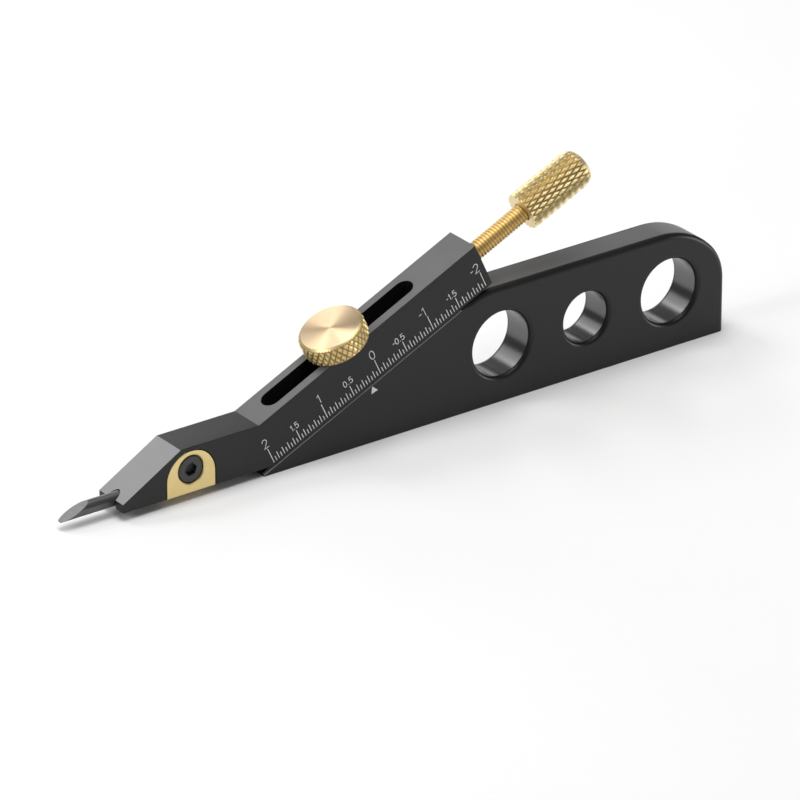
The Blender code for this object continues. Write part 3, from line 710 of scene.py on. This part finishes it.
def make_turning_group():
    """Fine lines that a lathe leaves round its axis, on faces and on barrels alike."""
    group = bpy.data.node_groups.new("turning_lines", "ShaderNodeTree")
    group.interface.new_socket("Pitch", in_out="INPUT", socket_type="NodeSocketFloat")
    group.interface.new_socket("Lines", in_out="OUTPUT", socket_type="NodeSocketFloat")
    sizes = new_node(group, "NodeGroupInput")
    results = new_node(group, "NodeGroupOutput")
    place = new_node(group, "ShaderNodeTexCoord")
    split = new_node(group, "ShaderNodeSeparateXYZ")
    flat = new_node(group, "ShaderNodeVectorMath", {1: (1.0, 1.0, 0.0)}, operation="MULTIPLY")
    spoke = new_node(group, "ShaderNodeVectorMath", operation="LENGTH")
    path = new_node(group, "ShaderNodeMath", operation="SUBTRACT")
    turns = new_node(group, "ShaderNodeMath", operation="DIVIDE")
    noise = new_node(group, "ShaderNodeTexNoise", {"Scale": 1.0, "Detail": LATHE_DETAIL},
                     noise_dimensions="1D")
    group.links.new(place.outputs["Object"], split.inputs[0])
    group.links.new(place.outputs["Object"], flat.inputs[0])
    group.links.new(flat.outputs["Vector"], spoke.inputs[0])
    group.links.new(spoke.outputs["Value"], path.inputs[0])
    group.links.new(split.outputs["Z"], path.inputs[1])
    group.links.new(path.outputs[0], turns.inputs[0])
    group.links.new(sizes.outputs["Pitch"], turns.inputs[1])
    group.links.new(turns.outputs[0], noise.inputs["W"])
    group.links.new(noise.outputs["Fac"], results.inputs["Lines"])
    return group


def make_brass(name, dark, light, rough, line_pitch=LATHE_PITCH, line_depth=LATHE_DEPTH, **even):
    """Bare turned brass: cloudy from handling, with the lathe's fine lines in its surface."""
    material, tree, shader = new_material(name, Metallic=1.0, **even)
    grain = add_group(tree, surface_grain, Patch_Size=BRASS_PATCHES)
    lines = add_group(tree, turning_lines, Pitch=line_pitch)
    tree.links.new(colour_between(tree, grain["Patches"], dark, light), shader.inputs["Base Color"])
    tree.links.new(value_between(tree, lines["Lines"], *rough), shader.inputs["Roughness"])
    add_relief(tree, shader, lines["Lines"], line_depth)
    return material


turning_lines = make_turning_group()
THREAD_BRASS = make_brass("thread_brass", dark=(0.70, 0.51, 0.21), light=(0.82, 0.61, 0.27),
                          rough=(0.44, 0.56))
# Darker brass in the thread's root: painted shade where the thread's groove lies in shadow.
THREAD_ROOT_PAINTED_SHADE = make_brass("thread_root_painted_shade", dark=(0.46, 0.31, 0.10), light=(0.56, 0.39, 0.14),
                               rough=(0.50, 0.60))
stud_foot = incline @ Matrix.Translation((STUD_S, 0.0, -STUD_DEPTH))
stud = threaded("lock_stud_thread", STUD_LENGTH, stud_foot)
rod_tip_s = STUD_S + SLOT_HALF_LENGTH + ROD_TIP_SETBACK
rod_tip = incline @ Matrix.Translation((rod_tip_s, 0.0, slide_top - ROD_DROP))
rod_length = SLOT_REAR_WALL - ROD_TIP_SETBACK + ROD_EXPOSED + ROD_IN_HEAD
rod = threaded("adjust_rod_thread", rod_length, rod_tip @ Matrix.Rotation(math.pi / 2, 4, "Y"))
for piece, body in ((stud, "lock_stud"), (rod, "adjust_rod")):
    give_finishes(piece, THREAD_BRASS, THREAD_ROOT_PAINTED_SHADE)
    # Painted shade: faces in the thread's root take the darker brass.
    for face in piece.data.polygons:
        if abs(face.normal.z) < SQUARE_CUT and face.center.xy.length < THREAD_ROOT:
            give_face(piece, face, THREAD_ROOT_PAINTED_SHADE)
    smooth(piece)
    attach(piece, body)
    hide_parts(body)

# Lock knob and adjusting head
# Both turned from brass bar and rolled with a diamond knurl: a fine one round the flat knob, whose top is
# faced to a spun sheen, and a coarse one along the slim head, which ends in a smooth dome.
KNOB_RADIUS = 6.9 * MM
KNOB_SEAT = 0.05 * MM
KNOB_TOP = 4.2 * MM
KNOB_BEVEL_WIDTH = 0.75 * MM
KNOB_BEVEL_DROP = 0.6 * MM
KNOB_FOOT_CHAMFER = 0.4 * MM
KNOB_RIM_DROP = 0.02 * MM
KNOB_RIM_EDGE = 0.05 * MM
KNOB_CENTRE_RADIUS = 0.4 * MM
KNOB_SOCKET_RADIUS = 2.05 * MM
KNOB_SOCKET_DEPTH = 2.45 * MM
KNOB_STARTS = 32
KNOB_KNURL_LENGTH = 2.1 * MM
KNOB_KNURL_DEPTH = 0.3 * MM
HEAD_RADIUS = 4.15 * MM
HEAD_LENGTH = 16.0 * MM
HEAD_NEAR_EDGE = 0.2 * MM
HEAD_DOME_LENGTH = 3.1 * MM
HEAD_DOME_DROP = 1.6 * MM
HEAD_SOCKET_RADIUS = 2.05 * MM
HEAD_SOCKET_DEPTH = 6.0 * MM
HEAD_STARTS = 22
HEAD_KNURL_LENGTH = 3.25 * MM
HEAD_KNURL_DEPTH = 0.6 * MM
KNURL_STEPS = 12
KNURL_SHARP_ANGLE = math.radians(24.0)
SOCKET_RINGS = 2
BEAD_ROUNDNESS = 1.6
GROOVE_SHARE = 0.62


def from_groove(turn):
    """Distance from the nearest groove, from 0 in it to 1 halfway to the next."""
    return 2 * abs(turn - round(turn))


def knurled_band(low, high, radius, depth, starts, length, envelope):
    """Rings of points for a barrel rolled with two crossing sets of grooves, inside an envelope."""
    rings = []
    for level in range(math.ceil((high - low) / length * KNURL_STEPS) + 1):
        along = level / KNURL_STEPS
        height = min(high, low + length * along)
        ring = []
        for step in range(starts * KNURL_STEPS):
            around = step / KNURL_STEPS
            rise = min(from_groove(around + along), from_groove(around - along))
            spoke = min(radius - depth * (1 - rise) ** BEAD_ROUNDNESS, envelope(height))
            angle = 2 * math.pi * around / starts
            ring.append((spoke * math.cos(angle), spoke * math.sin(angle), height))
        rings.append(ring)
    return rings


def plain_ring(radius, height, count):
    angles = [2 * math.pi * step / count for step in range(count)]
    return [(radius * math.cos(angle), radius * math.sin(angle), height) for angle in angles]


def skin(name, rings, place):
    """A closed form through the socket's rings and then the knurl's; the first and last are capped."""
    shape = bmesh.new()
    levels = [[shape.verts.new(point) for point in ring] for ring in rings]
    count = len(levels[0])
    for index, (lower, upper) in enumerate(zip(levels, levels[1:])):
        for step in range(count):
            after = (step + 1) % count
            a, b, c, d = lower[step], lower[after], upper[after], upper[step]
            groove = (step + 1 + index - SOCKET_RINGS) % (KNURL_STEPS // 2) == 0
            shape.faces.new((a, b, d) if groove else (a, b, c))
            shape.faces.new((b, c, d) if groove else (a, c, d))
    shape.faces.new(levels[0])
    shape.faces.new(levels[-1])
    return add_piece(name, shape, place)


def darken_grooves(piece, radius, depth, finish):
    """Gives the faces deep in the knurl a darker brass."""
    for face in piece.data.polygons:
        spoke = face.center.xy.length
        deep = radius - depth - MERGE < spoke < radius - GROOVE_SHARE * depth
        if deep and abs(face.normal.z) < SQUARE_CUT:
            give_face(piece, face, finish)


def knob_envelope(height):
    return min(KNOB_RADIUS - KNOB_FOOT_CHAMFER + (height - KNOB_SEAT),
               KNOB_RADIUS - KNOB_BEVEL_WIDTH + (KNOB_TOP - height) * KNOB_BEVEL_WIDTH / KNOB_BEVEL_DROP)


def head_envelope(height):
    """Chamfered at the near end and domed at the far end."""
    past = max(0.0, height - (HEAD_LENGTH - HEAD_DOME_LENGTH)) / HEAD_DOME_LENGTH
    dome = HEAD_RADIUS - HEAD_DOME_DROP * (1 - math.sqrt(max(0.0, 1 - past ** 2)))
    return min(HEAD_RADIUS - HEAD_NEAR_EDGE + height, dome)


KNOB_BRASS = make_brass("spun_brass", dark=(0.63, 0.475, 0.295), light=(0.69, 0.535, 0.345),
                        rough=(0.33, 0.37), line_pitch=0.06 * MM, line_depth=0.0004 * MM,
                        Anisotropic=0.9, Anisotropic_Rotation=0.25)
KNURL_BRASS = make_brass("knurled_brass", dark=(0.66, 0.50, 0.23), light=(0.80, 0.63, 0.32),
                         rough=(0.34, 0.46))
HEAD_BRASS = make_brass("head_brass", dark=(0.80, 0.67, 0.38), light=(0.90, 0.77, 0.47),
                        rough=(0.42, 0.52))
KNOB_GROOVE_BRASS = make_brass("knob_groove_brass", dark=(0.40, 0.29, 0.11), light=(0.52, 0.38, 0.16),
                               rough=(0.46, 0.58))
HEAD_GROOVE_BRASS = make_brass("head_groove_brass", dark=(0.58, 0.45, 0.21), light=(0.70, 0.56, 0.28),
                               rough=(0.46, 0.58))
spin_way = new_node(KNOB_BRASS.node_tree, "ShaderNodeTangent", direction_type="RADIAL", axis="Z")
KNOB_BRASS.node_tree.links.new(spin_way.outputs["Tangent"],
                               KNOB_BRASS.node_tree.nodes["Principled BSDF"].inputs["Tangent"])

knob_count = KNOB_STARTS * KNURL_STEPS
knob_face_radius = KNOB_RADIUS - KNOB_BEVEL_WIDTH
knob_band = knurled_band(KNOB_SEAT, KNOB_TOP - KNOB_RIM_DROP, KNOB_RADIUS, KNOB_KNURL_DEPTH,
                         KNOB_STARTS, KNOB_KNURL_LENGTH, knob_envelope)
knob_rings = [plain_ring(KNOB_SOCKET_RADIUS, KNOB_SOCKET_DEPTH, knob_count),
              plain_ring(KNOB_SOCKET_RADIUS, KNOB_SEAT, knob_count), *knob_band,
              plain_ring(knob_face_radius - KNOB_RIM_EDGE, KNOB_TOP, knob_count),
              plain_ring(KNOB_CENTRE_RADIUS, KNOB_TOP, knob_count)]
knob = skin("lock_knob_knurled", knob_rings, incline @ Matrix.Translation((STUD_S, 0.0, slide_top)))
give_finishes(knob, KNURL_BRASS, KNOB_BRASS, KNOB_GROOVE_BRASS)
darken_grooves(knob, KNOB_RADIUS, KNOB_KNURL_DEPTH, KNOB_GROOVE_BRASS)
for face in knob.data.polygons:
    if face.center.z > KNOB_TOP - KNOB_RIM_EDGE and face.center.xy.length < knob_face_radius:
        give_face(knob, face, KNOB_BRASS)

head_count = HEAD_STARTS * KNURL_STEPS
head_band = knurled_band(0.0, HEAD_LENGTH, HEAD_RADIUS, HEAD_KNURL_DEPTH,
                         HEAD_STARTS, HEAD_KNURL_LENGTH, head_envelope)
head_rings = [plain_ring(HEAD_SOCKET_RADIUS, HEAD_SOCKET_DEPTH, head_count),
              plain_ring(HEAD_SOCKET_RADIUS, 0.0, head_count), *head_band]
head_place = rod_axis @ Matrix.Translation((0.0, 0.0, ROD_EXPOSED))
head = skin("adjust_head_knurled", head_rings, head_place)
give_finishes(head, HEAD_BRASS, HEAD_GROOVE_BRASS)
darken_grooves(head, HEAD_RADIUS, HEAD_KNURL_DEPTH, HEAD_GROOVE_BRASS)
stand_upright(head)
for piece, body in ((knob, "lock_knob"), (head, "adjust_head")):
    smooth(piece, KNURL_SHARP_ANGLE)
    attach(piece, body)
    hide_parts(body)

# Lead clamp
# A round-topped plate of satin brass that fills the pocket in the nose and presses on the lead. A
# counterbore takes the head of its one screw.
CLAMP_THICKNESS = 2.45 * MM
CLAMP_EDGE = 0.14 * MM
CLAMP_EDGE_SEGMENTS = 3
CLAMP_EDGE_ANGLE = math.radians(50.0)
SEAT_RADIUS = 3.0 * MM
SEAT_DEPTH = 1.9 * MM
SEAT_CHAMFER = 0.2 * MM
SEAT_STEPS = 96

clamp = flat_bar("lead_clamp_plate", clamp_outline(CLAMP_RADIUS, 0.0), CLAMP_THICKNESS,
                 nose @ Matrix.Translation((CLAMP_SETBACK, CLAMP_THICKNESS / 2 - slide_side, 0.0)))
break_edges(clamp, CLAMP_EDGE, CLAMP_EDGE_SEGMENTS, CLAMP_EDGE_ANGLE)
PLATE_BRASS = make_brass("plate_brass", dark=(0.73, 0.57, 0.25), light=(0.83, 0.66, 0.33),
                         rough=(0.34, 0.46), line_pitch=0.08 * MM, line_depth=0.0008 * MM)
give_finishes(clamp, PLATE_BRASS)
seat = turned("seat", [
    (0.0, CUT_MARGIN), (SEAT_RADIUS + SEAT_CHAMFER, CUT_MARGIN), (SEAT_RADIUS + SEAT_CHAMFER, 0.0),
    (SEAT_RADIUS, -SEAT_CHAMFER), (SEAT_RADIUS, -SEAT_DEPTH), (SCREW_HOLE_RADIUS, -SEAT_DEPTH),
    (SCREW_HOLE_RADIUS, -CLAMP_THICKNESS - CUT_MARGIN), (0.0, -CLAMP_THICKNESS - CUT_MARGIN)],
    SEAT_STEPS, screw_axis)
give_finishes(seat, PLATE_BRASS)
combine(clamp, seat)
smooth_rounds(clamp)
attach(clamp, "lead_clamp")
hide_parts("lead_clamp")

# Clamp screw
# A small screw of black oxide steel, turned and then broached with a hexagon socket. Its head is let into
# the clamp plate, and its shank runs in a tapped hole in the nose.
SCREW_HEAD_RADIUS = 2.85 * MM
SCREW_HEAD_HEIGHT = 1.45 * MM
SCREW_EDGE = 0.22 * MM
SCREW_SHANK_RADIUS = 1.2 * MM
SCREW_LENGTH = 7.0 * MM
SCREW_STEPS = 64
SOCKET_SIDES = 6
SOCKET_FLATS = 2.5 * MM
SOCKET_DEPTH = 1.1 * MM
SOCKET_POINT = 0.3 * MM
SOCKET_TURN = math.radians(12.0)
OXIDE_IOR = 1.6
OXIDE_GRAIN = 0.1 * MM
OXIDE_PATCHES = 1.5 * MM
OXIDE_DARK = (0.012, 0.012, 0.012)
OXIDE_LIGHT = (0.024, 0.023, 0.022)
OXIDE_ROUGH = (0.34, 0.48)
SCREW_LINE_PITCH = 0.06 * MM


def make_black_oxide():
    """Blackened steel: a thin dark skin with a soft gloss and faint lathe lines."""
    material, tree, shader = new_material("black_oxide", Metallic=0.0, IOR=OXIDE_IOR)
    grain = add_group(tree, surface_grain, Grain_Size=OXIDE_GRAIN, Patch_Size=OXIDE_PATCHES)
    lines = add_group(tree, turning_lines, Pitch=SCREW_LINE_PITCH)
    tree.links.new(colour_between(tree, grain["Patches"], OXIDE_DARK, OXIDE_LIGHT),
                   shader.inputs["Base Color"])
    tree.links.new(value_between(tree, grain["Grain"], *OXIDE_ROUGH), shader.inputs["Roughness"])
    add_relief(tree, shader, lines["Lines"], LATHE_DEPTH)
    return material


BLACK_OXIDE = make_black_oxide()
screw_place = Matrix.Translation(screw_point) @ ACROSS
screw = turned("clamp_screw_socket", [
    (0.0, 0.0), (SCREW_HEAD_RADIUS - SCREW_EDGE, 0.0), (SCREW_HEAD_RADIUS, -SCREW_EDGE),
    (SCREW_HEAD_RADIUS, -SCREW_HEAD_HEIGHT), (SCREW_SHANK_RADIUS, -SCREW_HEAD_HEIGHT),
    (SCREW_SHANK_RADIUS, -SCREW_LENGTH), (0.0, -SCREW_LENGTH)], SCREW_STEPS, screw_place)
give_finishes(screw, BLACK_OXIDE)
socket_radius = SOCKET_FLATS / 2 / math.cos(math.pi / SOCKET_SIDES)
socket = turned("socket", [(0.0, CUT_MARGIN), (socket_radius, CUT_MARGIN),
                           (socket_radius, -SOCKET_DEPTH), (0.0, -SOCKET_DEPTH - SOCKET_POINT)],
                SOCKET_SIDES, screw_place @ Matrix.Rotation(SOCKET_TURN, 4, "Z"))
give_finishes(socket, BLACK_OXIDE)
combine(screw, socket)
smooth_rounds(screw)
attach(screw, "clamp_screw")
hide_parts("clamp_screw")

# Graphite lead
# A thick drawing lead, pressed and fired, held in the groove under the nose. Its front has been rubbed
# to one slanted flat, which is brighter than the drawn side.
LEAD_RADIUS = 1.4 * MM
LEAD_POINT_LENGTH = 6.5 * MM
LEAD_POINT_BLUNT = 0.15 * MM
LEAD_STEPS = 64
LEAD_END_EDGE = 0.12 * MM
GRAPHITE_METALLIC = 0.75
STREAK_WIDTH = 0.25 * MM
STREAK_DETAIL = 4.0
STREAK_DEPTH = 0.004 * MM


def make_graphite(name, dark, light, rough, streak):
    """Grey graphite with a metallic sheen; a small streak value draws its grain out along the lead."""
    material, tree, shader = new_material(name, Metallic=GRAPHITE_METALLIC)
    place = new_node(tree, "ShaderNodeTexCoord")
    stretch = new_node(tree, "ShaderNodeMapping", {"Scale": (streak, 1.0, 1.0)})
    noise = new_node(tree, "ShaderNodeTexNoise", {"Scale": 1.0 / STREAK_WIDTH, "Detail": STREAK_DETAIL})
    tree.links.new(place.outputs["Object"], stretch.inputs["Vector"])
    tree.links.new(stretch.outputs["Vector"], noise.inputs["Vector"])
    tree.links.new(colour_between(tree, noise.outputs["Fac"], dark, light), shader.inputs["Base Color"])
    tree.links.new(value_between(tree, noise.outputs["Fac"], *rough), shader.inputs["Roughness"])
    add_relief(tree, shader, noise.outputs["Fac"], STREAK_DEPTH)
    return material


GRAPHITE_SIDE = make_graphite("graphite_side", dark=(0.06, 0.06, 0.062), light=(0.16, 0.16, 0.165),
                              rough=(0.30, 0.45), streak=0.08)
GRAPHITE_FLAT = make_graphite("graphite_flat", dark=(0.12, 0.12, 0.125), light=(0.32, 0.32, 0.325),
                              rough=(0.45, 0.6), streak=0.5)
lead_low, lead_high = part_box("graphite_lead")
lead_reach = nose_front_x - lead_low.x
lead_length = lead_high.x - lead_low.x
lead_place = nose @ Matrix.Translation((-lead_reach, 0.0, LEAD_HEIGHT))
lead = turned("graphite_lead_rod", [
    (0.0, lead_length), (LEAD_RADIUS - LEAD_END_EDGE, lead_length),
    (LEAD_RADIUS, lead_length - LEAD_END_EDGE), (LEAD_RADIUS, 0.0), (0.0, 0.0)],
    LEAD_STEPS, Matrix.Identity(4))
lead.data.transform(Matrix.Rotation(math.pi / 2, 4, "Y"))
lead.matrix_world = lead_place
give_finishes(lead, GRAPHITE_SIDE, GRAPHITE_FLAT)
shape = bmesh.new()
shape.from_mesh(lead.data)
rise = 2 * LEAD_RADIUS - LEAD_POINT_BLUNT
cut_off(shape, (0.0, 0.0, LEAD_POINT_BLUNT - LEAD_RADIUS),
        Vector((-rise, 0.0, LEAD_POINT_LENGTH)).normalized())
for face in close_cuts(shape):
    give_face(lead, face, GRAPHITE_FLAT)
bmesh.ops.recalc_face_normals(shape, faces=shape.faces)
shape.to_mesh(lead.data)
shape.free()
smooth(lead)
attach(lead, "graphite_lead")
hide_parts("graphite_lead")

# Studio
# A matt white table in a dim white room. One large soft lamp overhead lights the whole, smaller ones behind
# brighten the top faces, and low ones at the left and the right put light on the brass and in the bores.
TABLE_SIZE = 6.0
TABLE_DROP = 0.02 * MM
TABLE_GRAIN = 0.4 * MM
TABLE_PATCHES = 60.0 * MM
TABLE_DARK = (0.90, 0.90, 0.90)
TABLE_LIGHT = (0.92, 0.92, 0.92)
TABLE_ROUGH = (0.75, 0.85)
ROOM_WHITE = (1.0, 1.0, 1.0, 1.0)
ROOM_STRENGTH = 0.16
# Name, place and size in metres, and power in watts; each lamp faces the gauge
LAMPS = (
    ("fill_lamp", (-0.06, -0.06, 1.24), (0.80, 0.80), 10.2),
    ("key_lamp", (-0.20, 0.57, 0.80), (0.30, 0.30), 1.25),
    ("back_left_lamp", (-0.33, 0.73, 0.59), (0.62, 0.42), 1.4),
    ("left_lamp", (-0.74, 0.05, 0.40), (0.25, 0.25), 1.8),
    ("right_back_lamp", (0.74, 0.61, 0.30), (0.35, 0.35), 0.5),
    ("low_back_lamp", (0.32, 0.89, 0.32), (0.30, 0.30), 1.3),
    ("right_lamp", (0.88, -0.42, 0.13), (0.30, 0.24), 2.2),
)


def make_table_white():
    """A matt white sheet, very slightly uneven."""
    material, tree, shader = new_material("table_white", Metallic=0.0)
    grain = add_group(tree, surface_grain, Grain_Size=TABLE_GRAIN, Patch_Size=TABLE_PATCHES)
    tree.links.new(colour_between(tree, grain["Patches"], TABLE_DARK, TABLE_LIGHT),
                   shader.inputs["Base Color"])
    tree.links.new(value_between(tree, grain["Grain"], *TABLE_ROUGH), shader.inputs["Roughness"])
    return material


shape = bmesh.new()
bmesh.ops.create_grid(shape, x_segments=1, y_segments=1, size=TABLE_SIZE / 2)
table = add_piece("table", shape, Matrix.Translation((0.0, 0.0, base_low.z - TABLE_DROP)))
give_finishes(table, make_table_white())

room = bpy.data.worlds.new("white_room")
room.use_nodes = True
room.node_tree.nodes["Background"].inputs["Color"].default_value = ROOM_WHITE
room.node_tree.nodes["Background"].inputs["Strength"].default_value = ROOM_STRENGTH
scene.world = room
for name, place, size, power in LAMPS:
    lamp = bpy.data.lights.new(name, "AREA")
    lamp.shape = "RECTANGLE"
    lamp.size, lamp.size_y = size
    lamp.energy = power
    holder = bpy.data.objects.new(name, lamp)
    scene.collection.objects.link(holder)
    holder.location = place
    holder.rotation_euler = (-Vector(place)).to_track_quat("-Z", "Y").to_euler()

# Camera
# The photo's view: a long lens from the front left, looking down by about 26 degrees, with the whole gauge
# in frame.
VIEW_TURN = math.radians(-36.003)
VIEW_TILT = math.radians(25.679)
VIEW_ROLL = math.radians(-0.075)
VIEW_DISTANCE = 1406.7 * MM
VIEW_AIM = Vector((-17.525, 5.32, 1.71)) * MM
LENS_MM = 318.17
SENSOR_MM = 36.0
VIEW_CLIP_END = 20.0

lens = bpy.data.cameras.new("photo_view")
lens.lens = LENS_MM
lens.sensor_width = SENSOR_MM
lens.clip_end = VIEW_CLIP_END
camera = bpy.data.objects.new("photo_view", lens)
scene.collection.objects.link(camera)
back = Vector((math.sin(VIEW_TURN) * math.cos(VIEW_TILT), -math.cos(VIEW_TURN) * math.cos(VIEW_TILT),
               math.sin(VIEW_TILT)))
right = Vector((math.cos(VIEW_TURN), math.sin(VIEW_TURN), 0.0))
facing = Matrix((right, back.cross(right), back)).transposed().to_4x4()
stand = Matrix.Translation(VIEW_AIM + back * VIEW_DISTANCE)
camera.matrix_world = stand @ facing @ Matrix.Rotation(VIEW_ROLL, 4, "Z")
scene.camera = camera
scene.view_settings.view_transform = "Standard"
